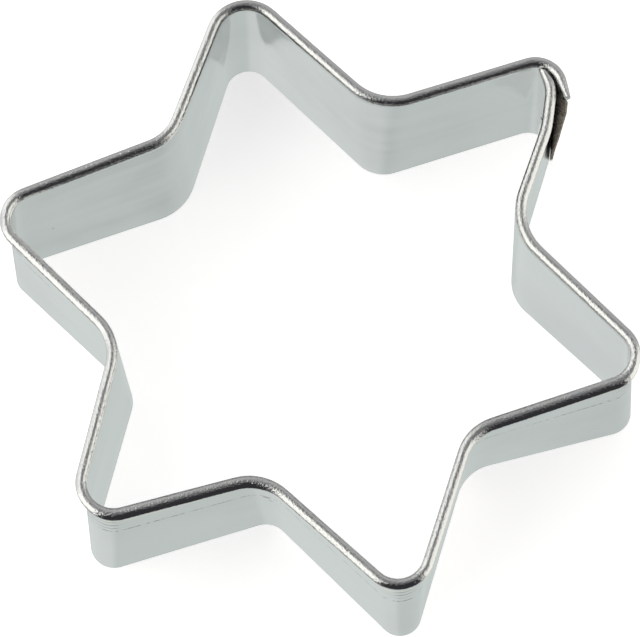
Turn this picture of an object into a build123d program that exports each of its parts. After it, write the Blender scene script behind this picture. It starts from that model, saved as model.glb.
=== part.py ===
from build123d import *
import math
import os

# Star-shaped pastry cutter: one strip of tinned sheet, bent into six points.
# Z is up, the cutting edge stands on z = 0 and the rolled rim is on top.
# Seen from above, the strip runs clockwise from its inner end to its outer end.

# Driving dimensions of the star, millimetres
tip_reach = 36.3
point_count = 6
band_height = 20.0
sheet = 0.3

# Rolled rim: a hollow bead whose inner side is flush with the inside of the wall
bead_radius = 0.6
curl_gap = 0.05

# Light surfaces on the long strip: arcs in which each bend is drawn, and turn of each flat round the roll
bend_arcs = 6
roll_flat_turn = 18

# Bends of the strip at the tips and at the notches between them
rim_tip_bend = 3.0
rim_notch_bend = 6.0
foot_tip_bend = 2.4
foot_notch_bend = 4.2

# Hand-bent corners stray from the true star: outward and counter-clockwise, as shares of this length
stray = 1.0

# Lap joint at the first tip, where the outer end of the strip covers the inner end
lap_gap = 0.05
outer_bead_tail = 0.2
bead_end_slant = 48

# Spot welds that hold the lap
weld_radius = 0.75
weld_heights = {"spot_weld_lower": 3.5, "spot_weld_upper": 7.5}
weld_turn = 40
weld_overrun = 0.6

# Direction of the lapped tip, and the turn from one corner to the next, degrees
first_direction = 30
corner_step = 180 / point_count

# The notches lie where lines between every other tip cross
notch_reach = tip_reach / (2 * math.cos(math.radians(corner_step)))

# The roll ends after a whole number of pairs of flats, at least the curl gap short of the wall
free_turn = math.degrees(math.acos((bead_radius - sheet - curl_gap) / bead_radius))
roll_turn = 2 * roll_flat_turn * math.floor((360 - free_turn) / (2 * roll_flat_turn))

# Corners after the lapped tip, clockwise: outward share, counter-clockwise share, bend share
rim_stray_shares = [
    (-0.10, 1.05, 1.15),
    (-0.15, 0.20, 0.95),
    (1.05, -0.35, 0.90),
    (-0.40, 0.00, 0.95),
    (0.30, -0.45, 0.95),
    (0.00, -0.05, 1.00),
    (0.60, 0.00, 1.00),
    (-0.25, 0.50, 0.90),
    (1.75, -0.70, 0.90),
    (-0.95, -0.05, 1.10),
    (-0.50, -0.95, 1.10),
]
foot_stray_shares = [
    (0.05, 0.30, 1.10),
    (0.45, 0.20, 1.00),
    (0.05, 0.55, 1.15),
    (-0.35, -0.15, 0.90),
    (-0.40, -0.10, 0.65),
    (0.50, 0.10, 1.00),
    (0.10, -0.05, 0.80),
    (-0.25, 0.40, 0.80),
    (0.85, -0.55, 1.35),
    (-0.55, -0.05, 1.10),
    (-0.75, -0.65, 0.90),
]

# Lapped tip: where its two walls would cross, as stray shares, and the bend of the outer layer
rim_lap_shares = (2.10, -1.20, 0.80)
foot_lap_shares = (0.60, -0.30, 1.10)

# Lap at the rim: the inner layer leaves the wall at the bow, is tucked in at the tuck, and its end
# keeps the inner gap to the last wall. The bow and the tuck are given by the distance along the wall
# from the sharp tip, and by how far inside the wall line they lie
rim_bow = (9.6, 0.6)
rim_bow_bend = 8.0
rim_tuck = (5.3, 1.7)
rim_tuck_bend = 4.0
rim_inner_heading = 41
rim_inner_gap = 0.4055
rim_outer_heading = 38
rim_outer_tail = 2.3

# Lap at the foot: the layers lie close, one inside the other round the same bend
foot_bow = (8.6, -0.05)
foot_bow_bend = 8.0
foot_inner_heading = 72
foot_inner_tail = 0.1
foot_outer_heading = 1
foot_outer_tail = 0.1


def heading_vector(degrees):
    """Unit vector in plan at this angle from +X."""
    return Vector(1, 0).rotate(Axis.Z, degrees)


def left_of(vector):
    """The vector turned a quarter counter-clockwise."""
    return vector.rotate(Axis.Z, 90)


def turn_between(before, after):
    """Signed turn from one heading vector to the next, degrees, counter-clockwise positive."""
    return before.get_signed_angle(after, Vector(0, 0, 1))


def crossing(point_a, way_a, point_b, way_b):
    """Point where two plan lines cross."""
    share = (point_b - point_a).cross(way_b).Z / way_a.cross(way_b).Z
    return point_a + way_a * share


def setback(bend, turn):
    """Distance from a corner to the start of its bend."""
    return bend * math.tan(math.radians(abs(turn) / 2))


def star_corner(index, shares):
    """Sharp corner of the star, counted clockwise from the lapped tip, moved by its stray shares."""
    reach = tip_reach if index % 2 == 0 else notch_reach
    radial = heading_vector(first_direction - index * corner_step)
    return radial * (reach + stray * shares[0]) + left_of(radial) * (stray * shares[1])


def strip_path(level):
    """Corners and bends of the strip's middle line at one level, from its inner to its outer end."""
    corners = [star_corner(index + 1, shares) for index, shares in enumerate(level["strays"])]
    bends = [
        shares[2] * (level["notch_bend"] if index % 2 == 0 else level["tip_bend"])
        for index, shares in enumerate(level["strays"])
    ]
    lap_tip = star_corner(0, level["lap"])
    lap_bend = level["lap"][2] * level["tip_bend"]
    along = (corners[0] - lap_tip).normalized()
    outward = left_of(along)
    bow = lap_tip + along * level["bow"][0] - outward * level["bow"][1]
    lap_place = lap_tip + along * level["tuck"][0] - outward * level["tuck"][1]

    # The outer layer passes the lap at the layers' spacing and meets the last wall at its own corner
    outer_way = along.rotate(Axis.Z, level["outer_heading"])
    spacing = left_of(outer_way) * level["spacing"]
    last_wall = (lap_tip - corners[-1]).normalized()
    outer_corner = crossing(corners[-1], last_wall, lap_place + spacing, outer_way)
    outer_turn = turn_between(last_wall, outer_way)
    outer_bend_end = outer_corner + outer_way * setback(lap_bend, outer_turn)
    outer_end = outer_bend_end + outer_way * level["outer_tail"]

    # The inner layer turns in at its own tuck, or round the same centre where the layers lie close
    inner_way = along.rotate(Axis.Z, level["inner_heading"])
    if level["nested"]:
        tuck_bend = lap_bend - level["spacing"]
        inner_turn = turn_between(inner_way, outer_way)
        tuck = outer_bend_end - spacing - outer_way * setback(tuck_bend, inner_turn)
        inner_end = tuck - inner_way * (setback(tuck_bend, inner_turn) + level["inner_tail"])
    else:
        tuck_bend = level["tuck_bend"]
        tuck = lap_place
        inward = left_of(last_wall) * -1
        end_reach = sheet / 2 * abs(left_of(inner_way).dot(inward))
        clear_line = corners[-1] + inward * (sheet / 2 + level["inner_gap"] + end_reach)
        inner_end = crossing(clear_line, last_wall, tuck, inner_way)

    points = [inner_end, tuck, bow] + corners + [outer_corner, outer_end]
    radii = [tuck_bend, level["bow_bend"]] + bends + [lap_bend]
    centre_way = (last_wall * -1 + outer_way).normalized()
    bend_centre = outer_corner + centre_way * (lap_bend / math.cos(math.radians(abs(outer_turn) / 2)))
    return {"points": points, "radii": radii, "bend_centre": bend_centre, "along": along}


def beside(path, distance):
    """Corners and bends of the line that runs beside a path, outward when the distance is positive."""
    points = path["points"]
    ways = [(end - start).normalized() for start, end in zip(points, points[1:])]
    moved = [points[0] + left_of(ways[0]) * distance]
    radii = []
    for index, bend in enumerate(path["radii"]):
        normal_before = left_of(ways[index])
        normal_after = left_of(ways[index + 1])
        spread = 1 + normal_before.dot(normal_after)
        moved.append(points[index + 1] + (normal_before + normal_after) * (distance / spread))
        to_the_right = turn_between(ways[index], ways[index + 1]) < 0
        radii.append(bend + distance if to_the_right else bend - distance)
    moved.append(points[-1] + left_of(ways[-1]) * distance)
    return moved, radii


def line_beside(path, distance, height):
    """The smooth line beside a path, at a height."""
    points, radii = beside(path, distance)
    return FilletPolyline(*[point + Vector(0, 0, height) for point in points], radius=radii)


def edges_with_split_bends(line):
    """Edges of a line beside the path, each bend cut into equal arcs."""
    edges = []
    for edge in line.edges():
        parts = bend_arcs if edge.geom_type == GeomType.CIRCLE else 1
        edges += [edge.trim(part / parts, (part + 1) / parts) for part in range(parts)]
    return edges


def strip_section(path, height):
    """Cross-section of the strip with a horizontal plane: one long thin closed face."""
    outer = line_beside(path, sheet / 2, height)
    inner = line_beside(path, -sheet / 2, height)
    end_cap = [Line(outer @ 1, inner @ 1).edge()]
    start_cap = [Line(inner @ 0, outer @ 0).edge()]
    way_back = edges_with_split_bends(inner)[::-1]
    return Face(Wire(edges_with_split_bends(outer) + end_cap + way_back + start_cap))


def round_the_roll(radius, flats_each):
    """Corners of one side of the roll's section, from the top of the wall round to the free edge."""
    spread = roll_flat_turn * flats_each
    count = round(roll_turn / spread)
    return [heading_vector(180 - spread * index) * radius for index in range(count + 1)]


def curl_section(bead_line):
    """Cross-section of the roll: a ring that starts on top of the wall and stops just short of it below."""
    plane = Plane(origin=bead_line @ 0, x_dir=left_of(bead_line % 0), z_dir=bead_line % 0)
    outside = round_the_roll(bead_radius, 1)
    inside = round_the_roll(bead_radius - sheet, 2)
    return plane * make_face(Polyline(*outside, *inside[::-1], close=True).edges())


def roll_along(bead_line):
    """The hollow roll swept along a stretch of the bead's middle line."""
    return sweep(curl_section(bead_line), path=bead_line)


def slanted_end(point, way, slant):
    """Block that trims a bead end: everything past a vertical plane through the point."""
    reach = 8 * bead_radius
    plane = Plane(origin=point, x_dir=Vector(0, 0, 1), z_dir=way.rotate(Axis.Z, slant))
    return plane * Box(reach, reach, reach, align=(Align.CENTER, Align.CENTER, Align.MIN))


def rolled_rim(path):
    """Hollow bead along the whole rim, both ends cut on a slant so that they nest at the lap."""
    height = band_height - bead_radius
    bead_line = line_beside(path, bead_radius - sheet / 2, height)
    edges = list(bead_line.edges())
    first_way = bead_line % 0
    last_way = bead_line % 1
    inner_side = bead_line @ 0 - left_of(first_way) * bead_radius
    outer_side = bead_line @ 1 + left_of(last_way) * bead_radius - last_way * outer_bead_tail
    start = roll_along(Wire(edges[:1])) - slanted_end(inner_side, first_way * -1, -bead_end_slant)
    end = roll_along(Wire(edges[-1:])) - slanted_end(outer_side, last_way, -bead_end_slant)
    return roll_along(Wire(edges[1:-1])) + start + end


def weld_cylinder(rim, foot, height):
    """Round tool through both layers of the lap, square to them, at a height."""
    share = height / (band_height - bead_radius)
    centre = foot["bend_centre"] * (1 - share) + rim["bend_centre"] * share
    outward = left_of(foot["along"].rotate(Axis.Z, weld_turn))
    length = foot_tip_bend + sheet + weld_overrun
    plane = Plane(origin=centre + Vector(0, 0, height), x_dir=Vector(0, 0, 1), z_dir=outward)
    return plane * Cylinder(weld_radius, length, align=(Align.CENTER, Align.CENTER, Align.MIN))


rim_level = {
    "strays": rim_stray_shares,
    "lap": rim_lap_shares,
    "tip_bend": rim_tip_bend,
    "notch_bend": rim_notch_bend,
    "bow": rim_bow,
    "bow_bend": rim_bow_bend,
    "tuck": rim_tuck,
    "tuck_bend": rim_tuck_bend,
    "nested": False,
    "inner_heading": rim_inner_heading,
    "inner_gap": rim_inner_gap,
    "outer_heading": rim_outer_heading,
    "outer_tail": rim_outer_tail,
    "spacing": 2 * bead_radius + lap_gap,
}
foot_level = {
    "strays": foot_stray_shares,
    "lap": foot_lap_shares,
    "tip_bend": foot_tip_bend,
    "notch_bend": foot_notch_bend,
    "bow": foot_bow,
    "bow_bend": foot_bow_bend,
    "tuck": (0, 0),
    "nested": True,
    "inner_heading": foot_inner_heading,
    "inner_tail": foot_inner_tail,
    "outer_heading": foot_outer_heading,
    "outer_tail": foot_outer_tail,
    "spacing": sheet + lap_gap,
}

# Blade of the strip from the cutting edge to the middle of the bead, then the rolled rim on it
rim_path = strip_path(rim_level)
foot_path = strip_path(foot_level)
blade = loft([strip_section(foot_path, 0), strip_section(rim_path, band_height - bead_radius)], ruled=True)
band = blade + rolled_rim(rim_path)

# Each weld fills its round hole through both layers and the narrow gap between them
welds = {}
for name, weld_height in weld_heights.items():
    tool = weld_cylinder(rim_path, foot_path, weld_height)
    outward = left_of(foot_path["along"].rotate(Axis.Z, weld_turn))
    air = (tool - band).solids().sort_by(lambda piece: piece.center().dot(outward))
    welds[name] = (tool & band) + air[1]
for name, weld_height in weld_heights.items():
    band = band - weld_cylinder(rim_path, foot_path, weld_height)

# The middle of the footprint is the origin
middle = band.bounding_box().center()
to_origin = Location((-middle.X, -middle.Y, 0))
pieces = {"cutter_band": band} | welds

os.makedirs("parts", exist_ok=True)
for name, piece in pieces.items():
    placed = to_origin * piece
    placed.label = name
    export_step(placed, f"parts/{name}.step")
    box = placed.bounding_box()
    print(name, "volume", round(placed.volume, 3), "size", [round(side, 2) for side in box.size])
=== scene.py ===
import logging
import math
from bisect import bisect_left
from dataclasses import dataclass, field
from enum import Enum
from typing import Callable

import bpy
from mathutils import Matrix, Vector


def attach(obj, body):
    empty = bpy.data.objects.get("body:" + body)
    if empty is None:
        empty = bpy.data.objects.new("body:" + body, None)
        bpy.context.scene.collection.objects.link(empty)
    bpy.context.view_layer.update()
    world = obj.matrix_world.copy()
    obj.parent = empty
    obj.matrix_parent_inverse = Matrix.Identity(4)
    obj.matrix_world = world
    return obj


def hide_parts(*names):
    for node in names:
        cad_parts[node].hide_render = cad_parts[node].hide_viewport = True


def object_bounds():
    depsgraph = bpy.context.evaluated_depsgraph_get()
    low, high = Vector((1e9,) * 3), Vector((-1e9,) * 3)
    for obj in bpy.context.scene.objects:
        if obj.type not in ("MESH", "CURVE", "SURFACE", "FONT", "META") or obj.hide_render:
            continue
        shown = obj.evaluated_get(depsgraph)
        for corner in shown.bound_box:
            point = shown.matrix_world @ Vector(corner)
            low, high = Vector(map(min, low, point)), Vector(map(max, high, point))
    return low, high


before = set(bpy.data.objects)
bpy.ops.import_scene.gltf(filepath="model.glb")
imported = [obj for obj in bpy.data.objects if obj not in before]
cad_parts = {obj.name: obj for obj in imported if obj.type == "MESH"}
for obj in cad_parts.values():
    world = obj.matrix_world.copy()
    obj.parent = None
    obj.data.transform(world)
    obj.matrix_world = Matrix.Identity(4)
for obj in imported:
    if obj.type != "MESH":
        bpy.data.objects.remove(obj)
CAD_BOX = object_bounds()

LOG = logging.getLogger("star_cutter")
MM = 0.001
SLIP = 0.00001
STRIP_MAP = "strip"
OUTSIDE = "outside"
UP = Vector((0.0, 0.0, 1.0))
BODY = "root"
FRAME_WIDTH_PX = 640
SENSOR_MM = 36.0

Pair = tuple[float, float]
Triple = tuple[float, float, float]
Colour = tuple[float, float, float, float]
Socket = bpy.types.NodeSocket


def left_of(way: Vector) -> Vector:
    """The level vector turned a quarter counter-clockwise."""
    return Vector((-way.y, way.x, 0.0))


def heading(degrees: float) -> Vector:
    """Unit vector in plan at this angle from +X."""
    angle = math.radians(degrees)
    return Vector((math.cos(angle), math.sin(angle), 0.0))


def turned(way: Vector, degrees: float) -> Vector:
    """The level vector turned counter-clockwise by degrees."""
    return Matrix.Rotation(math.radians(degrees), 3, "Z") @ way


def turn_between(before: Vector, after: Vector) -> float:
    """Signed turn from one level unit vector to the next, radians, counter-clockwise positive."""
    return math.atan2(before.cross(after).z, before.dot(after))


def setback(bend: float, turn: float) -> float:
    """Distance from a sharp corner to the start of its bend."""
    return bend * math.tan(abs(turn) / 2)


def share_between(value: float, low: float, high: float) -> float:
    """How far a value is on its way from low to high, held between 0 and 1."""
    return min(1.0, max(0.0, (value - low) / (high - low)))


def crossing(point_a: Vector, way_a: Vector, point_b: Vector, way_b: Vector) -> Vector:
    """Point where two level lines cross."""
    share = (point_b - point_a).cross(way_b).z / way_a.cross(way_b).z
    return point_a + way_a * share


class Seam(Enum):
    """How the two ends of the strip lie on each other at one level of the lap."""

    SPREAD = "held apart by the bead"
    NESTED = "one close inside the other"


class StripEnd(Enum):
    """The two ends of the strip, which lap at one tip."""

    INNER = "inner_end"
    OUTER = "outer_end"


@dataclass
class Stretch:
    """One straight or evenly bent stretch of the strip's middle line, seen from above."""

    start: Vector
    way: Vector
    length: float
    radius: float = 0.0
    turn: float = 0.0

    def centre(self) -> Vector:
        """Centre of the bend."""
        side = 1.0 if self.turn > 0 else -1.0
        return self.start + left_of(self.way) * (self.radius * side)

    def place(self, share: float) -> tuple[Vector, Vector]:
        """Point and direction at a share of the stretch.

        Args:
            share: 0 at the start, 1 at the end.

        Returns:
            The point and the unit direction of travel.
        """
        if not self.turn:
            return self.start + self.way * (self.length * share), self.way
        spin = Matrix.Rotation(self.turn * share, 3, "Z")
        centre = self.centre()
        return centre + spin @ (self.start - centre), spin @ self.way


@dataclass
class StripLevel:
    """Course of the strip's middle line at one height: the cutting edge or the rim."""

    strays: list[Triple]
    lap_tip: Triple
    tip_bend: float
    notch_bend: float
    bow: Pair
    bow_bend: float
    tuck: Pair
    tuck_bend: float
    inner_heading: float
    inner_tail: float
    outer_heading: float
    outer_tail: float
    spacing: float
    seam: Seam
    tip_reach: float = 36.3 * MM
    stray: float = 1.0 * MM
    first_direction: float = 30.0
    corner_step: float = 30.0

    def corner(self, index: int, shares: Triple) -> Vector:
        """Sharp corner of the star, counted clockwise from the lapped tip, moved by its stray shares."""
        notch_reach = self.tip_reach / (2 * math.cos(math.radians(self.corner_step)))
        reach = self.tip_reach if index % 2 == 0 else notch_reach
        radial = heading(self.first_direction - index * self.corner_step)
        return radial * (reach + self.stray * shares[0]) + left_of(radial) * (self.stray * shares[1])

    def course(self) -> tuple[list[Vector], list[float]]:
        """Corners of the middle line from the inner to the outer end.

        Returns:
            The points, and the bend radius at each point between the ends.
        """
        corners = [self.corner(index + 1, shares) for index, shares in enumerate(self.strays)]
        bends = [
            shares[2] * (self.notch_bend if index % 2 == 0 else self.tip_bend)
            for index, shares in enumerate(self.strays)
        ]
        lap_tip = self.corner(0, self.lap_tip)
        lap_bend = self.lap_tip[2] * self.tip_bend
        along = (corners[0] - lap_tip).normalized()
        outward = left_of(along)
        bow = lap_tip + along * self.bow[0] - outward * self.bow[1]
        lap_place = lap_tip + along * self.tuck[0] - outward * self.tuck[1]

        outer_way = turned(along, self.outer_heading)
        spacing = left_of(outer_way) * self.spacing
        last_wall = (lap_tip - corners[-1]).normalized()
        outer_corner = crossing(corners[-1], last_wall, lap_place + spacing, outer_way)
        outer_bend_end = outer_corner + outer_way * setback(lap_bend, turn_between(last_wall, outer_way))
        outer_end = outer_bend_end + outer_way * self.outer_tail

        inner_way = turned(along, self.inner_heading)
        tuck, tuck_bend, after_tuck = lap_place, self.tuck_bend, (bow - lap_place).normalized()
        if self.seam is Seam.NESTED:
            tuck_bend, after_tuck = lap_bend - self.spacing, outer_way
            tuck = outer_bend_end - spacing - outer_way * setback(tuck_bend, turn_between(inner_way, outer_way))
        inner_reach = setback(tuck_bend, turn_between(inner_way, after_tuck)) + self.inner_tail
        points = [tuck - inner_way * inner_reach, tuck, bow] + corners + [outer_corner, outer_end]
        return points, [tuck_bend, self.bow_bend] + bends + [lap_bend]

    def stretches(self) -> list[Stretch]:
        """The middle line as straight and bent stretches in turn, from the inner to the outer end."""
        points, bends = self.course()
        ways = [(after - before).normalized() for before, after in zip(points, points[1:])]
        run: list[Stretch] = []
        here = points[0]
        for index, bend in enumerate(bends):
            turn = turn_between(ways[index], ways[index + 1])
            bend_start = points[index + 1] - ways[index] * setback(bend, turn)
            run.append(Stretch(here, ways[index], (bend_start - here).length))
            arc = Stretch(bend_start, ways[index], bend * abs(turn), bend, turn)
            run.append(arc)
            here = arc.place(1.0)[0]
        run.append(Stretch(here, ways[-1], (points[-1] - here).length))
        return run


@dataclass
class StripPlan:
    """Plan of the bent strip, the same as the CAD solid's: rim and foot levels and the sheet's own sizes."""

    height: float = 20.0 * MM
    sheet: float = 0.3 * MM
    bead_radius: float = 0.6 * MM
    lap_gap: float = 0.05 * MM
    foot_gap: float = 0.012 * MM
    outer_bead_tail: float = 0.1 * MM
    inner_bead_slant: float = 40.0
    outer_bead_slant: float = 12.0
    pinch_length: float = 2.2 * MM
    pinch_share: float = 0.5
    flare_length: float = 3.6 * MM
    flare: tuple[Pair, ...] = (
        (0.0, 0.0), (3.0 * MM, 0.10 * MM), (6.4 * MM, 0.33 * MM), (10.5 * MM, 0.46 * MM),
        (14.6 * MM, 0.62 * MM), (19.4 * MM, 0.42 * MM), (20.0 * MM, 0.42 * MM),
    )
    bead_pull: float = 0.2 * MM
    bead_swell: float = 0.20
    swell_facing: Pair = (0.55, 0.90)
    swell_reach: Pair = (-27.0 * MM, -22.0 * MM)

    def rim(self) -> StripLevel:
        """Course of the strip at the height of the bead's middle."""
        return StripLevel(
            strays=[
                (-0.10, 1.05, 1.15), (-0.15, 0.20, 0.95), (1.05, -0.35, 0.90), (-0.40, 0.00, 0.95),
                (0.30, -0.45, 0.95), (0.00, -0.05, 1.00), (0.60, 0.00, 1.00), (-0.25, 0.50, 0.90),
                (1.75, -0.70, 0.90), (-0.95, -0.05, 1.10), (-0.50, -0.95, 1.10),
            ],
            lap_tip=(2.10, -1.20, 0.80),
            tip_bend=3.0 * MM,
            notch_bend=6.0 * MM,
            bow=(9.6 * MM, 0.6 * MM),
            bow_bend=8.0 * MM,
            tuck=(5.3 * MM, 1.7 * MM),
            tuck_bend=4.0 * MM,
            inner_heading=41.0,
            inner_tail=1.5 * MM,
            outer_heading=38.0,
            outer_tail=2.3 * MM,
            spacing=2 * self.bead_radius + self.lap_gap,
            seam=Seam.SPREAD,
        )

    def foot(self) -> StripLevel:
        """Course of the strip at the cutting edge."""
        return StripLevel(
            strays=[
                (0.05, 0.30, 1.10), (0.45, 0.20, 1.00), (0.05, 0.55, 1.15), (-0.35, -0.15, 0.90),
                (-0.40, -0.10, 0.65), (0.50, 0.10, 1.00), (0.10, -0.05, 0.80), (-0.25, 0.40, 0.80),
                (0.85, -0.55, 1.35), (-0.55, -0.05, 1.10), (-0.75, -0.65, 0.90),
            ],
            lap_tip=(0.60, -0.30, 1.10),
            tip_bend=2.4 * MM,
            notch_bend=4.2 * MM,
            bow=(8.6 * MM, -0.05 * MM),
            bow_bend=8.0 * MM,
            tuck=(0.0, 0.0),
            tuck_bend=0.0,
            inner_heading=72.0,
            inner_tail=0.1 * MM,
            outer_heading=1.0,
            outer_tail=0.1 * MM,
            spacing=self.sheet + self.foot_gap,
            seam=Seam.NESTED,
        )


class Scene:
    """Small helpers round Blender's own operators."""

    @staticmethod
    def deselect() -> None:
        """Leaves edit mode and deselects every object."""
        if bpy.context.object and bpy.context.object.mode != "OBJECT":
            bpy.ops.object.mode_set(mode="OBJECT")
        bpy.ops.object.select_all(action="DESELECT")

    @staticmethod
    def settle(piece: bpy.types.Object) -> None:
        """Puts a piece's place into its mesh, so that its object sits at the origin."""
        Scene.deselect()
        piece.select_set(True)
        bpy.context.view_layer.objects.active = piece
        bpy.ops.object.transform_apply(location=True, rotation=True, scale=True)

    @staticmethod
    def pick(piece: bpy.types.Object, wanted: Callable[[Vector], bool]) -> None:
        """Opens a piece for editing with just the vertices selected that pass a test.

        Args:
            piece: the mesh object.
            wanted: tells from a vertex's place whether it is selected.
        """
        Scene.deselect()
        piece.select_set(True)
        bpy.context.view_layer.objects.active = piece
        bpy.ops.object.mode_set(mode="EDIT")
        bpy.ops.mesh.select_mode(type="VERT")
        bpy.ops.mesh.select_all(action="DESELECT")
        bpy.ops.object.mode_set(mode="OBJECT")
        for vertex in piece.data.vertices:
            vertex.select = wanted(vertex.co)
        bpy.ops.object.mode_set(mode="EDIT")

    @staticmethod
    def dress(piece: bpy.types.Object, material: bpy.types.Material) -> None:
        """Gives a piece one material."""
        piece.data.materials.clear()
        piece.data.materials.append(material)


class Wiring:
    """Lays out the nodes of one material or world and joins them."""

    def __init__(self, tree: bpy.types.NodeTree) -> None:
        """Starts on an existing node tree."""
        self.tree = tree

    def node(self, kind: str, **settings: object) -> bpy.types.Node:
        """Adds a node.

        Args:
            kind: the node's type, without its ShaderNode prefix.
            settings: the node's own settings by name.

        Returns:
            The new node.
        """
        made = self.tree.nodes.new("ShaderNode" + kind)
        for name, value in settings.items():
            setattr(made, name, value)
        return made

    def feed(self, socket: Socket, value: object) -> None:
        """Joins a socket to another node's output, or gives it a fixed value."""
        if isinstance(value, Socket):
            self.tree.links.new(value, socket)
        else:
            socket.default_value = value

    def math(self, operation: str, *values: object) -> Socket:
        """Result of a number operation on sockets or fixed values."""
        made = self.node("Math", operation=operation)
        for socket, value in zip(made.inputs, values):
            self.feed(socket, value)
        return made.outputs["Value"]

    def dot(self, vector: Socket, way: Vector) -> Socket:
        """Component of a vector socket along a fixed direction."""
        made = self.node("VectorMath", operation="DOT_PRODUCT")
        self.feed(made.inputs[0], vector)
        self.feed(made.inputs[1], way)
        return made.outputs["Value"]

    def distance(self, vector: Socket, point: Vector) -> Socket:
        """Distance of a vector socket from a fixed point."""
        made = self.node("VectorMath", operation="DISTANCE")
        self.feed(made.inputs[0], vector)
        self.feed(made.inputs[1], point)
        return made.outputs["Value"]

    def scaled(self, vector: Socket, scale: Triple) -> Socket:
        """A vector socket with each axis scaled."""
        made = self.node("VectorMath", operation="MULTIPLY")
        self.feed(made.inputs[0], vector)
        self.feed(made.inputs[1], scale)
        return made.outputs["Vector"]

    def ramp(
        self, value: object, low: object, high: object, to_low: object = 0.0, to_high: object = 1.0
    ) -> Socket:
        """A number that goes smoothly from to_low to to_high while the value goes from low to high."""
        made = self.node("MapRange", interpolation_type="SMOOTHSTEP")
        names = ("Value", "From Min", "From Max", "To Min", "To Max")
        for name, setting in zip(names, (value, low, high, to_low, to_high)):
            self.feed(made.inputs[name], setting)
        return made.outputs["Result"]

    def noise(self, place: Socket, scale: float, detail: float = 2.0, roughness: float = 0.5) -> Socket:
        """Cloudy noise between 0 and 1 at a place."""
        made = self.node("TexNoise")
        self.feed(made.inputs["Vector"], place)
        self.feed(made.inputs["Scale"], scale)
        self.feed(made.inputs["Detail"], detail)
        self.feed(made.inputs["Roughness"], roughness)
        return made.outputs["Fac"]

    def blend(self, share: object, first: object, second: object) -> Socket:
        """Colour between two colours by a share."""
        made = self.node("Mix", data_type="RGBA")
        self.feed(made.inputs[0], share)
        self.feed(made.inputs[6], first)
        self.feed(made.inputs[7], second)
        return made.outputs[2]

    def bump(self, height: Socket, depth: float, under: Socket | None = None) -> Socket:
        """Surface normal raised by a height pattern, on top of another normal where one is given."""
        made = self.node("Bump")
        self.feed(made.inputs["Height"], height)
        self.feed(made.inputs["Distance"], depth)
        if under is not None:
            self.feed(made.inputs["Normal"], under)
        return made.outputs["Normal"]


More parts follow.
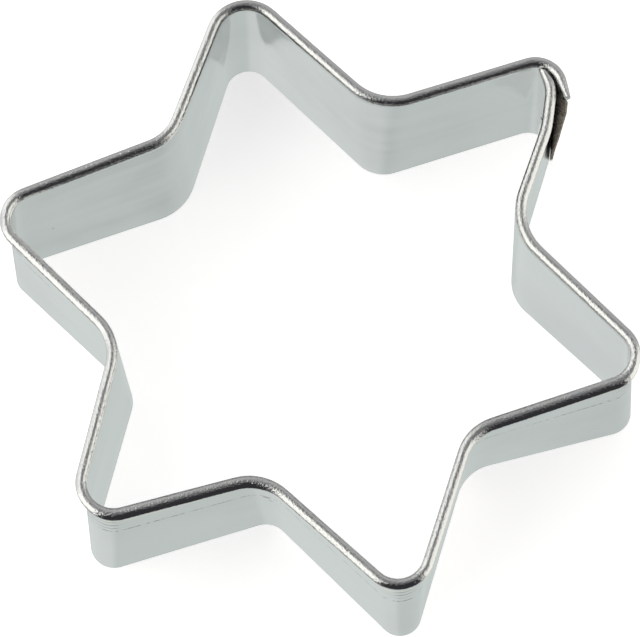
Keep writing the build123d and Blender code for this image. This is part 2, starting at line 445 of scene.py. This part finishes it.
@dataclass(frozen=True)
class TinplateFinish:
    """Bright tinned sheet: smooth walls with soft waves, a bead mottled by the curling, marks and a heat stain, with
    a painted cream highlight line below the bead and painted shade deep in the lap.

    A stretch scales the flat-sheet map, along the strip and up it, before noise is read there. A range gives the
    noise levels between which a pattern sets in.
    """

    name: str = "tinned_sheet"
    colour: Colour = (0.745, 0.75, 0.74, 1.0)
    cloudy: Colour = (0.69, 0.69, 0.70, 1.0)
    # painted highlight: cream colour for the line where the wall comes out from under the bead on the outer face
    painted_highlight: Colour = (0.86, 0.82, 0.73, 1.0)
    scored: Colour = (0.50, 0.52, 0.49, 1.0)
    tarnish: Colour = (0.30, 0.24, 0.18, 1.0)
    soot: Colour = (0.29, 0.225, 0.165, 1.0)
    # painted shade: near-black that stands for the deep shade inside the lap
    lap_shade: Colour = (0.05, 0.05, 0.055, 1.0)
    wall_roughness: float = 0.13
    bead_roughness: float = 0.05
    stain_roughness: float = 0.42
    cloud_roughness: float = 0.05
    bead_foot: float = 18.9 * MM
    bead_fade: float = 0.5 * MM
    cloud_scale: float = 55.0
    cloud_range: Pair = (0.40, 0.72)
    cloud_share: float = 0.6
    # height band of the painted cream highlight on the outer face, just below the bead
    painted_highlight_band: Pair = (15.3 * MM, 15.9 * MM)
    painted_highlight_fade: float = 0.2 * MM
    painted_highlight_share: float = 0.7
    spots: tuple[tuple[Triple, float, float], ...] = (
        ((-11.4, -18.4, 12.2), 0.55, 0.75), ((-11.1, -18.7, 11.2), 0.4, 0.5), ((-25.5, 18.5, 7.9), 0.2, 0.5),
        ((-24.8, 18.4, 5.1), 0.12, 0.4),
    )
    spot_core: float = 0.4
    wave_scale: float = 85.0
    wave_depth: float = 0.16 * MM
    press_stretch: Triple = (14.0, 230.0, 1.0)
    press_depth: float = 0.07 * MM
    flute_stretch: Triple = (330.0, 22.0, 1.0)
    flute_depth: float = 0.012 * MM
    wobble_stretch: Triple = (150.0, 700.0, 1.0)
    wobble_depth: float = 0.07 * MM
    mottle_stretch: Triple = (3300.0, 5200.0, 1.0)
    mottle_depth: float = 0.058 * MM
    wall_mottle: float = 0.02
    score_height: float = 12.1 * MM
    score_sway: float = 0.9 * MM
    score_width: float = 0.16 * MM
    score_core: float = 0.2
    score_depth: float = 0.015 * MM
    score_share: float = 0.75
    sway_stretch: Triple = (22.0, 0.0, 1.0)
    break_stretch: Triple = (1700.0, 90.0, 1.0)
    break_range: Pair = (0.38, 0.56)
    spell_stretch: Triple = (60.0, 0.0, 1.0)
    spell_range: Pair = (0.32, 0.48)
    spell_least: float = 0.25
    ripple_pitch: float = 1.0 * MM
    ripple_band: Pair = (12.6 * MM, 15.6 * MM)
    ripple_fades: Pair = (1.2 * MM, 0.8 * MM)
    ripple_reach: Pair = (31.8 * MM, 33.2 * MM)
    ripple_depth: float = 0.016 * MM
    stain_reach: Pair = (5.5 * MM, 2.5 * MM)
    stain_foot: Pair = (0.0, 0.9 * MM)
    stain_scale: float = 2400.0
    stain_range: Pair = (0.36, 0.56)
    stain_least: float = 0.45
    cut_edge: Pair = (-0.06 * MM, -0.01 * MM)
    # painted shade in the lap sets in this far from the outer end and is full this far
    lap_shade_reach: Pair = (0.5 * MM, 1.5 * MM)

    def material(self) -> bpy.types.Material:
        """The finish as a node material."""
        made = bpy.data.materials.new(self.name)
        made.use_nodes = True
        wires = Wiring(made.node_tree)
        shader = made.node_tree.nodes["Principled BSDF"]
        place = wires.node("TexCoord").outputs["Object"]
        strip = wires.node("UVMap", uv_map=STRIP_MAP).outputs["UV"]
        parts = wires.node("SeparateXYZ")
        wires.feed(parts.inputs[0], strip)
        along, height = parts.outputs["X"], parts.outputs["Y"]
        outside = wires.node("Attribute", attribute_name=OUTSIDE).outputs["Fac"]
        bead = wires.ramp(height, self.bead_foot, self.bead_foot + self.bead_fade)
        score = self.score(wires, strip, height, outside)
        stain_and_shade = self.stain_and_shade(wires, place, along, outside)
        stain_and_shade = wires.math("MULTIPLY", stain_and_shade, wires.math("SUBTRACT", 1.0, bead))
        stain_and_shade = wires.math("MULTIPLY", stain_and_shade, wires.ramp(height, *self.stain_foot))
        clouds = wires.ramp(wires.noise(place, self.cloud_scale, 3.0, 0.55), *self.cloud_range)

        tone = wires.blend(wires.math("MULTIPLY", clouds, self.cloud_share), self.colour, self.cloudy)
        # painted highlight: a cream band on the outer face just below the bead, where the wall shows past the roll
        low, high = self.painted_highlight_band
        rising = wires.ramp(height, low, low + self.painted_highlight_fade)
        falling = wires.ramp(height, high + self.painted_highlight_fade, high)
        painted_highlight = wires.math("MULTIPLY", wires.math("MULTIPLY", rising, falling), outside)
        tone = wires.blend(wires.math("MULTIPLY", painted_highlight, self.painted_highlight_share), tone, self.painted_highlight)
        tone = wires.blend(wires.math("MULTIPLY", score, self.score_share), tone, self.scored)
        for spot, radius, share in self.spots:
            away = wires.distance(place, Vector(spot) * MM)
            near = wires.ramp(away, radius * MM, radius * self.spot_core * MM)
            tone = wires.blend(wires.math("MULTIPLY", near, share), tone, self.tarnish)
        # painted shade: the stained lap goes from brown soot at the cut edge to painted near-black deeper in
        edge, depth = self.lap_shade_reach
        darker_tone = wires.blend(wires.ramp(along, -edge, -depth), self.soot, self.lap_shade)
        wires.feed(shader.inputs["Base Color"], wires.blend(stain_and_shade, tone, darker_tone))

        shine = wires.math("MULTIPLY_ADD", bead, self.bead_roughness - self.wall_roughness, self.wall_roughness)
        shine = wires.math("MULTIPLY_ADD", clouds, self.cloud_roughness, shine)
        wires.feed(shader.inputs["Roughness"], wires.math("MULTIPLY_ADD", stain_and_shade, self.stain_roughness, shine))

        surface = wires.bump(wires.noise(place, self.wave_scale, 1.0), self.wave_depth)
        press = wires.noise(wires.scaled(strip, self.press_stretch), 1.0, 1.0)
        surface = wires.bump(press, self.press_depth, surface)
        flutes = wires.noise(wires.scaled(strip, self.flute_stretch), 1.0, 2.0)
        surface = wires.bump(flutes, self.flute_depth, surface)
        wobble = wires.noise(wires.scaled(strip, self.wobble_stretch), 1.0, 1.0)
        surface = wires.bump(wires.math("MULTIPLY", wobble, bead), self.wobble_depth, surface)
        mottle = wires.noise(wires.scaled(strip, self.mottle_stretch), 1.0, 2.0, 0.6)
        rough_parts = wires.math("MAXIMUM", wires.math("MAXIMUM", bead, stain_and_shade), self.wall_mottle)
        surface = wires.bump(wires.math("MULTIPLY", mottle, rough_parts), self.mottle_depth, surface)
        surface = wires.bump(self.ripples(wires, place, height, outside), self.ripple_depth, surface)
        pit = wires.math("MULTIPLY", score, -1.0)
        wires.feed(shader.inputs["Normal"], wires.bump(pit, self.score_depth, surface))
        shader.inputs["Metallic"].default_value = 1.0
        return made

    def score(self, wires: Wiring, strip: Socket, height: Socket, outside: Socket) -> Socket:
        """Fine broken line that the curling roller left on the outer face.

        Args:
            wires: the material's nodes.
            strip: the flat-sheet map.
            height: the way up the sheet.
            outside: 1 on faces that look out of the star.

        Returns:
            Strength of the line, 0 to 1.
        """
        sway = wires.noise(wires.scaled(strip, self.sway_stretch), 1.0, 1.0)
        middle = wires.math("MULTIPLY_ADD", sway, self.score_sway, self.score_height)
        away = wires.math("ABSOLUTE", wires.math("SUBTRACT", height, middle))
        line = wires.ramp(away, self.score_width, self.score_width * self.score_core)
        breaks = wires.ramp(wires.noise(wires.scaled(strip, self.break_stretch), 1.0, 2.0), *self.break_range)
        spells = wires.noise(wires.scaled(strip, self.spell_stretch), 1.0, 1.0)
        spells = wires.ramp(spells, *self.spell_range, to_low=self.spell_least)
        share = wires.math("MULTIPLY", wires.math("MULTIPLY", line, breaks), spells)
        return wires.math("MULTIPLY", share, outside)

    def ripples(self, wires: Wiring, place: Socket, height: Socket, outside: Socket) -> Socket:
        """Level ripples that the curling left below the bead, round the outside of the tips.

        Args:
            wires: the material's nodes.
            place: Object coordinates.
            height: the way up the sheet.
            outside: 1 on faces that look out of the star.

        Returns:
            Height of the ripples, -1 to 1.
        """
        flat = wires.scaled(place, (1.0, 1.0, 0.0))
        tips = wires.ramp(wires.distance(flat, Vector()), *self.ripple_reach)
        (low, high), (foot_fade, top_fade) = self.ripple_band, self.ripple_fades
        rising = wires.ramp(height, low, low + foot_fade)
        band = wires.math("MULTIPLY", rising, wires.ramp(height, high + top_fade, high))
        wave = wires.math("SINE", wires.math("MULTIPLY", height, math.tau / self.ripple_pitch))
        share = wires.math("MULTIPLY", wires.math("MULTIPLY", tips, band), outside)
        return wires.math("MULTIPLY", wave, share)

    def stain_and_shade(self, wires: Wiring, place: Socket, along: Socket, outside: Socket) -> Socket:
        """Brown heat stain and painted shade on the inner face and the cut edge of the outer end, beside the welds:
        brown near the cut edge, painted near-black shade deeper in the lap.

        Args:
            wires: the material's nodes.
            place: Object coordinates.
            along: the way along the sheet, 0 at the outer end.
            outside: 1 on faces that look out of the star.

        Returns:
            Strength of the stain and painted shade, 0 to 1.
        """
        start, full = self.stain_reach
        near = wires.ramp(along, -start, -full)
        patchy = wires.noise(place, self.stain_scale, 3.0, 0.7)
        patchy = wires.ramp(patchy, *self.stain_range, to_low=self.stain_least)
        inner = wires.math("MAXIMUM", wires.math("SUBTRACT", 1.0, outside), wires.ramp(along, *self.cut_edge))
        return wires.math("MULTIPLY", wires.math("MULTIPLY", near, inner), patchy)


@dataclass(frozen=True)
class WeldFinish:
    """Dull grey metal of a spot weld, darkened by its heat."""

    name: str = "weld_metal"
    colour: Colour = (0.42, 0.42, 0.43, 1.0)
    darker_tone: Colour = (0.24, 0.22, 0.21, 1.0)
    patch_scale: float = 900.0
    patch_range: Pair = (0.35, 0.7)
    grain_scale: float = 2600.0
    grain_depth: float = 0.02 * MM
    roughness: float = 0.38
    grain_roughness: float = 0.25

    def material(self) -> bpy.types.Material:
        """The finish as a node material."""
        made = bpy.data.materials.new(self.name)
        made.use_nodes = True
        wires = Wiring(made.node_tree)
        shader = made.node_tree.nodes["Principled BSDF"]
        place = wires.node("TexCoord").outputs["Object"]
        patches = wires.ramp(wires.noise(place, self.patch_scale, 3.0), *self.patch_range)
        wires.feed(shader.inputs["Base Color"], wires.blend(patches, self.colour, self.darker_tone))
        grain = wires.noise(place, self.grain_scale, 3.0)
        shine = wires.math("MULTIPLY_ADD", grain, self.grain_roughness, self.roughness)
        wires.feed(shader.inputs["Roughness"], shine)
        wires.feed(shader.inputs["Normal"], wires.bump(grain, self.grain_depth))
        shader.inputs["Metallic"].default_value = 1.0
        return made


@dataclass
class CutterBand:
    """The star-shaped band: one strip with its top edge rolled outward and its ends lapped at a tip."""

    plan: StripPlan
    circle_sides: int = 40
    open_sides: int = 8
    wall_rows: int = 20
    straight_step: float = 0.9 * MM
    least_straight_steps: int = 2
    bend_step: float = 6.0
    least_bend_steps: int = 3
    merge_distance: float = 0.002 * MM
    crease: float = 40.0
    inward_limit: float = -0.35
    node: str = "cutter_band"
    stations: list[tuple[Vector, Vector, Vector, Vector]] = field(default_factory=list)

    def build(self) -> bpy.types.Object:
        """Models the band and returns it in its place."""
        rim, foot = self.plan.rim().stretches(), self.plan.foot().stretches()
        Scene.deselect()
        self.start_profile(rim[0])
        self.run_along(rim, foot)
        bpy.ops.object.mode_set(mode="OBJECT")
        piece = bpy.context.object
        piece.name = "tin_band"
        piece.data.name = "tin_band"
        self.map_strip(piece)
        self.group_ends(piece, rim)
        self.shape_sections(piece)
        self.trim_bead_ends(piece, rim)
        self.centre(piece)
        self.thicken(piece)
        return piece

    def start_profile(self, first: Stretch) -> None:
        """Draws the strip's section at its inner end: the roll as an open circle, the wall below it.

        Args:
            first: the first stretch of the rim, which starts at the inner end.
        """
        plan = self.plan
        outward = left_of(first.way)
        bead_middle = first.start + outward * (plan.bead_radius - plan.sheet / 2)
        bead_middle.z = plan.height - plan.bead_radius
        basis = Matrix((UP, outward, UP.cross(outward))).transposed()
        bpy.ops.mesh.primitive_circle_add(
            vertices=self.circle_sides,
            radius=plan.bead_radius - plan.sheet / 2,
            fill_type="NOTHING",
            location=bead_middle,
            rotation=basis.to_euler(),
        )
        Scene.settle(bpy.context.object)
        piece = bpy.context.object
        side = 360.0 / self.circle_sides

        def angle(place: Vector) -> float:
            """Angle round the roll from its inner side, downwards positive."""
            offset = place - bead_middle
            return math.degrees(math.atan2(-offset.z, -offset.dot(outward)))

        Scene.pick(piece, lambda place: side / 2 < angle(place) < side * (self.open_sides - 0.5))
        bpy.ops.mesh.delete(type="VERT")
        Scene.pick(piece, lambda place: abs(angle(place)) < side / 2)
        drop = -(plan.height - plan.bead_radius) / self.wall_rows
        for _ in range(self.wall_rows):
            bpy.ops.mesh.extrude_region_move(TRANSFORM_OT_translate={"value": (0.0, 0.0, drop)})
        bpy.ops.mesh.select_all(action="SELECT")

    def run_along(self, rim: list[Stretch], foot: list[Stretch]) -> None:
        """Extrudes and spins the section along the rim, and notes where each section belongs.

        Args:
            rim: stretches of the middle line at the rim.
            foot: stretches of the middle line at the foot.
        """
        self.stations = [rim[0].place(0.0) + foot[0].place(0.0)]
        for above, below in zip(rim, foot):
            if above.turn:
                steps = max(self.least_bend_steps, round(math.degrees(abs(above.turn)) / self.bend_step))
                bpy.ops.mesh.spin(
                    steps=steps,
                    angle=-above.turn,
                    use_auto_merge=False,
                    center=above.centre(),
                    axis=UP,
                )
            else:
                steps = max(self.least_straight_steps, round(above.length / self.straight_step))
                for _ in range(steps):
                    move = above.way * (above.length / steps)
                    bpy.ops.mesh.extrude_region_move(TRANSFORM_OT_translate={"value": move})
            for step in range(1, steps + 1):
                self.stations.append(above.place(step / steps) + below.place(step / steps))

    def lengths(self) -> list[float]:
        """Way along the rim to each section, from the inner end."""
        run = [0.0]
        for before, after in zip(self.stations, self.stations[1:]):
            run.append(run[-1] + (after[0] - before[0]).length)
        return run

    def map_strip(self, piece: bpy.types.Object) -> None:
        """Gives the band its flat-sheet map, in metres: the way along the strip, 0 at its outer end, and the way up.

        Args:
            piece: the band, with its sections in the order in which they were drawn.
        """
        rows = len(piece.data.vertices) // len(self.stations)
        along = self.lengths()
        top = self.plan.height - self.plan.bead_radius
        radius = self.plan.bead_radius - self.plan.sheet / 2
        layer = piece.data.uv_layers.new(name=STRIP_MAP)
        for loop in piece.data.loops:
            station = loop.vertex_index // rows
            middle, way = self.stations[station][:2]
            place = piece.data.vertices[loop.vertex_index].co
            out = (place - middle).dot(left_of(way))
            up = place.z
            if out > SLIP or up > top:
                up = top + self.plan.bead_radius * (math.atan2(place.z - top, radius - out) % math.tau)
            layer.data[loop.index].uv = (along[station] - along[-1], up)

    def shape_sections(self, piece: bpy.types.Object) -> None:
        """Leans each section from the foot's outline to the rim's, and works the two ends of the strip.

        The roll is pinched where it tapers off at its inner end and swells where the band looks to the front, and
        the outer end of the sheet is flared to meet the roll.

        Args:
            piece: the band, still upright all round, with its sections in the order in which they were drawn.
        """
        plan = self.plan
        rows = len(piece.data.vertices) // len(self.stations)
        along = self.lengths()
        top = plan.height - plan.bead_radius
        far = 2 * plan.bead_radius - plan.sheet
        for vertex in piece.data.vertices:
            station = vertex.index // rows
            rim_point, way, foot_point, _ = self.stations[station]
            outward = left_of(way)
            out = (vertex.co - rim_point).dot(outward)
            flare = max(0.0, 1.0 - (along[-1] - along[station]) / plan.flare_length) ** 2
            edge = self.flare_at(vertex.co.z) * flare
            width = 1.0 - self.ease(along[station], plan.pinch_length) * plan.pinch_share
            width += self.swell(rim_point, outward)
            width -= (plan.bead_pull * flare + edge) / far
            if out < SLIP and vertex.co.z < top:
                vertex.co += (foot_point - rim_point) * (1.0 - vertex.co.z / top)
            vertex.co += outward * (edge + out * (width - 1.0))

    def swell(self, rim_point: Vector, outward: Vector) -> float:
        """How much wider the roll is where the band looks to the front, but not round the front tip."""
        facing = share_between(-outward.y, *self.plan.swell_facing)
        return self.plan.bead_swell * facing * share_between(rim_point.y, *self.plan.swell_reach)

    @staticmethod
    def ease(distance: float, reach: float) -> float:
        """Share that falls smoothly from 1 at no distance to 0 at the reach."""
        share = max(0.0, 1.0 - distance / reach)
        return share * share * (3.0 - 2.0 * share)

    def flare_at(self, height: float) -> float:
        """How far the outer end of the sheet is bent outward at a height."""
        pairs = self.plan.flare
        for (below, small), (above, large) in zip(pairs, pairs[1:]):
            if height <= above:
                return small + (large - small) * max(0.0, height - below) / (above - below)
        return pairs[-1][1]

    def group_ends(self, piece: bpy.types.Object, rim: list[Stretch]) -> None:
        """Names the roll's points near each end of the strip, so that each end can be cut on its own.

        Args:
            piece: the band, with its sections in the order in which they were drawn.
            rim: stretches of the middle line at the rim.
        """
        rows = len(piece.data.vertices) // len(self.stations)
        along = self.lengths()
        reaches = {
            StripEnd.INNER: [index for index, way in enumerate(along) if way < rim[0].length + SLIP],
            StripEnd.OUTER: [index for index, way in enumerate(along) if along[-1] - way < rim[-1].length + SLIP],
        }
        for end, stations in reaches.items():
            group = piece.vertex_groups.new(name=end.value)
            roll = range(rows - self.wall_rows)
            group.add([station * rows + row for station in stations for row in roll], 1.0, "REPLACE")

    def trim_bead_ends(self, piece: bpy.types.Object, rim: list[Stretch]) -> None:
        """Cuts the bead off at both ends of the strip, on the slant at which it is sheared.

        Args:
            piece: the band, before it gets its thickness.
            rim: stretches of the middle line at the rim.
        """
        plan = self.plan
        first, last = rim[0], rim[-1]
        outer_end = last.place(1.0)[0]
        inner_corner = first.start - left_of(first.way) * (plan.sheet / 2)
        bead_width = left_of(last.way) * (2 * plan.bead_radius - plan.sheet / 2 - plan.bead_pull)
        outer_corner = outer_end + bead_width - last.way * plan.outer_bead_tail
        cuts = [
            (StripEnd.INNER, inner_corner, turned(first.way * -1.0, -plan.inner_bead_slant)),
            (StripEnd.OUTER, outer_corner, turned(last.way, -plan.outer_bead_slant)),
        ]
        for end, corner, facing in cuts:
            Scene.pick(piece, lambda place: False)
            piece.vertex_groups.active_index = piece.vertex_groups[end.value].index
            bpy.ops.object.vertex_group_select()
            bpy.ops.mesh.bisect(plane_co=corner, plane_no=facing, clear_outer=True)
            bpy.ops.object.mode_set(mode="OBJECT")
        piece.vertex_groups.clear()

    def centre(self, piece: bpy.types.Object) -> None:
        """Moves the band so that the middle of its footprint is the frame's origin."""
        low, high = CAD_BOX
        reach = self.plan.sheet / 2
        xs = [vertex.co.x for vertex in piece.data.vertices]
        ys = [vertex.co.y for vertex in piece.data.vertices]
        shift = Vector((
            (low[0] + high[0]) / 2 - (min(xs) + max(xs)) / 2,
            (low[1] + high[1]) / 2 - (min(ys) + max(ys)) / 2,
            0.0,
        ))
        LOG.info("band reaches %.3f by %.3f mm", (max(xs) - min(xs) + 2 * reach) / MM,
                 (max(ys) - min(ys) + 2 * reach) / MM)
        for vertex in piece.data.vertices:
            vertex.co += shift

    def thicken(self, piece: bpy.types.Object) -> None:
        """Gives the bent surface the thickness of the sheet and smooths its shading."""
        Scene.deselect()
        piece.select_set(True)
        bpy.context.view_layer.objects.active = piece
        bpy.ops.object.mode_set(mode="EDIT")
        bpy.ops.mesh.select_all(action="SELECT")
        bpy.ops.mesh.remove_doubles(threshold=self.merge_distance)
        bpy.ops.mesh.normals_make_consistent(inside=False)
        bpy.ops.object.mode_set(mode="OBJECT")
        solid = piece.modifiers.new("sheet", "SOLIDIFY")
        solid.thickness = self.plan.sheet
        solid.offset = 0.0
        solid.use_even_offset = True
        bpy.ops.object.modifier_apply(modifier=solid.name)
        bpy.ops.object.mode_set(mode="EDIT")
        bpy.ops.mesh.select_all(action="SELECT")
        bpy.ops.mesh.normals_make_consistent(inside=False)
        bpy.ops.object.mode_set(mode="OBJECT")
        bpy.ops.object.shade_smooth_by_angle(angle=math.radians(self.crease))
        self.mark_outside(piece)

    def mark_outside(self, piece: bpy.types.Object) -> None:
        """Notes on each face whether it looks into the star, for the marks that only one side of the sheet has.

        Args:
            piece: the finished band.
        """
        along = self.lengths()
        layer = piece.data.attributes.new(OUTSIDE, "FLOAT", "FACE")
        strip = piece.data.uv_layers[STRIP_MAP].data
        for polygon in piece.data.polygons:
            way_along = along[-1] + sum(strip[loop].uv.x for loop in polygon.loop_indices) / polygon.loop_total
            station = min(bisect_left(along, way_along), len(along) - 1)
            _, rim_way, _, foot_way = self.stations[station]
            outward = left_of(foot_way.lerp(rim_way, polygon.center.z / self.plan.height).normalized())
            inward = polygon.normal.dot(outward) < self.inward_limit
            layer.data[polygon.index].value = 0.0 if inward else 1.0

    def dress(self, piece: bpy.types.Object) -> None:
        """Gives the band its finish and its place in the frame."""
        Scene.dress(piece, TinplateFinish().material())
        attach(piece, BODY)
        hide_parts(self.node)


@dataclass
class SpotWelds:
    """The two fused slugs that hold the lap."""

    nodes: tuple[str, ...] = ("spot_weld_lower", "spot_weld_upper")

    def dress(self) -> None:
        """Gives the welds of the frame their finish."""
        finish = WeldFinish().material()
        for name in self.nodes:
            Scene.dress(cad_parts[name], finish)


@dataclass(frozen=True)
class SoftBox:
    """One lit or dark part of the room, as it is seen from the object, with soft edges.

    Angles are degrees: azimuth from +Y towards +X, elevation up from level.
    """

    azimuth: float
    elevation: float
    half_width: float
    half_height: float
    edge: float
    level: float
    tint: Triple = (1.0, 1.0, 1.0)

    def colour(self) -> Colour:
        """Light that comes from this part of the room."""
        red, green, blue = (self.level * share for share in self.tint)
        return (red, green, blue, 1.0)

    def mask(self, wires: Wiring, way: Socket, upward: Socket) -> Socket:
        """Share of this part of the room in each direction.

        Args:
            wires: the world's nodes.
            way: the direction looked in.
            upward: its elevation, radians.

        Returns:
            A number that is 1 inside and falls to 0 across the edge.
        """
        front = heading(90.0 - self.azimuth)
        sideways = wires.math("ARCTAN2", wires.dot(way, left_of(front)), wires.dot(way, front))
        share: object = 1.0
        limits = ((sideways, 0.0, self.half_width), (upward, self.elevation, self.half_height))
        for angle, middle, half in limits:
            away = wires.math("ABSOLUTE", wires.math("SUBTRACT", angle, math.radians(middle)))
            inside = math.radians(half - self.edge)
            outside = math.radians(half + self.edge)
            share = wires.math("MULTIPLY", share, wires.ramp(away, outside, inside))
        return share


@dataclass(frozen=True)
class FloorFinish:
    """Pale matt floor that fades to the white backdrop and takes the object's shadow."""

    name: str = "pale_floor"
    colour: Colour = (0.9, 0.9, 0.9, 1.0)
    roughness: float = 0.9
    backdrop_share: float = 0.72

    def material(self) -> bpy.types.Material:
        """The finish as a node material."""
        made = bpy.data.materials.new(self.name)
        made.use_nodes = True
        wires = Wiring(made.node_tree)
        matt = made.node_tree.nodes["Principled BSDF"]
        matt.inputs["Base Color"].default_value = self.colour
        matt.inputs["Roughness"].default_value = self.roughness
        matt.inputs["Specular IOR Level"].default_value = 0.0
        path = wires.node("LightPath")
        glow = wires.node("Emission")
        strength = wires.math("MULTIPLY", path.outputs["Is Camera Ray"], self.backdrop_share)
        wires.feed(glow.inputs["Strength"], strength)
        both = wires.node("AddShader")
        wires.feed(both.inputs[0], matt.outputs["BSDF"])
        wires.feed(both.inputs[1], glow.outputs["Emission"])
        seen = wires.node("MixShader")
        wires.feed(seen.inputs[0], path.outputs["Is Glossy Ray"])
        wires.feed(seen.inputs[1], both.outputs["Shader"])
        wires.feed(seen.inputs[2], wires.node("BsdfTransparent").outputs["BSDF"])
        wires.feed(made.node_tree.nodes["Material Output"].inputs["Surface"], seen.outputs["Shader"])
        return made


@dataclass
class Studio:
    """Pale floor, soft light and the camera at the photograph's angle."""

    target: Vector = field(default_factory=lambda: Vector((0.218, 3.404, 0.0)) * MM)
    azimuth: float = -12.914
    elevation: float = 71.06
    roll: float = -2.518
    distance: float = 0.6
    focal_px: float = 5498.8
    clip_start: float = 0.01
    floor_size: float = 3.0
    room: Colour = (0.215, 0.215, 0.22, 1.0)
    boxes: tuple[SoftBox, ...] = (
        SoftBox(azimuth=30, elevation=8, half_width=55, half_height=48, edge=10, level=0.49),
        SoftBox(azimuth=-172, elevation=8, half_width=46, half_height=70, edge=12, level=0.035,
                tint=(1.02, 0.98, 1.08)),
        SoftBox(azimuth=-55, elevation=-3, half_width=30, half_height=43, edge=10, level=0.86),
        SoftBox(azimuth=-70, elevation=50, half_width=54, half_height=18, edge=7, level=1.25,
                tint=(1.0, 1.0, 0.97)),
        SoftBox(azimuth=-97, elevation=18, half_width=23, half_height=42, edge=8, level=1.42,
                tint=(1.01, 1.0, 0.955)),
        SoftBox(azimuth=-28, elevation=22, half_width=13, half_height=48, edge=7, level=1.22,
                tint=(1.0, 1.0, 0.965)),
        SoftBox(azimuth=107, elevation=-4, half_width=31, half_height=50, edge=12, level=1.15,
                tint=(1.02, 1.0, 0.935)),
        SoftBox(azimuth=0, elevation=-90, half_width=190, half_height=29, edge=4, level=0.66,
                tint=(0.955, 1.035, 1.01)),
        SoftBox(azimuth=-95, elevation=-67, half_width=62, half_height=9, edge=16, level=0.80,
                tint=(0.97, 1.02, 1.01)),
    )

    def camera(self) -> None:
        """Creates the camera and makes it the scene's."""
        azimuth, elevation, roll = map(math.radians, (self.azimuth, self.elevation, self.roll))
        right = Vector((math.cos(azimuth), math.sin(azimuth), 0.0))
        back = Vector((math.sin(azimuth), -math.cos(azimuth), 0.0)) * math.cos(elevation)
        back.z = math.sin(elevation)
        up = back.cross(right)
        image_right = right * math.cos(roll) + up * math.sin(roll)
        image_up = up * math.cos(roll) - right * math.sin(roll)
        basis = Matrix((image_right, image_up, back)).transposed().to_4x4()
        lens = bpy.data.cameras.new("camera")
        lens.sensor_width = SENSOR_MM
        lens.lens = self.focal_px * SENSOR_MM / FRAME_WIDTH_PX
        lens.clip_start = self.clip_start
        eye = bpy.data.objects.new("camera", lens)
        eye.matrix_world = Matrix.Translation(self.target + back * self.distance) @ basis
        bpy.context.scene.collection.objects.link(eye)
        bpy.context.scene.camera = eye

    def floor(self) -> None:
        """Lays the floor under the cutting edge."""
        Scene.deselect()
        bpy.ops.mesh.primitive_plane_add(size=self.floor_size, location=(0.0, 0.0, 0.0))
        floor = bpy.context.object
        floor.name = "floor"
        Scene.dress(floor, FloorFinish().material())

    def light(self) -> None:
        """Sets the soft light of the room, and white where the camera sees past the floor."""
        world = bpy.data.worlds.new("studio")
        world.use_nodes = True
        wires = Wiring(world.node_tree)
        way = wires.node("TexCoord").outputs["Generated"]
        upward = wires.math("ARCSINE", wires.dot(way, UP))
        room: object = self.room
        for box in self.boxes:
            room = wires.blend(box.mask(wires, way, upward), room, box.colour())
        path = wires.node("LightPath").outputs["Is Camera Ray"]
        backdrop = world.node_tree.nodes["Background"]
        wires.feed(backdrop.inputs["Color"], wires.blend(path, room, (1.0, 1.0, 1.0, 1.0)))
        backdrop.inputs["Strength"].default_value = 1.0
        bpy.context.scene.world = world
        bpy.context.scene.view_settings.view_transform = "Standard"


def main() -> None:
    """Builds the cutter's pieces in order and sets the studio round them."""
    logging.basicConfig(level=logging.INFO, format="%(name)s: %(message)s")
    band = CutterBand(StripPlan())
    piece = band.build()
    band.dress(piece)
    LOG.info("tin_band has %d faces", len(piece.data.polygons))
    welds = SpotWelds()
    welds.dress()
    LOG.info("spot welds dressed")
    studio = Studio()
    studio.floor()
    studio.light()
    studio.camera()
    LOG.info("studio ready")


if __name__ == "__main__":
    main()
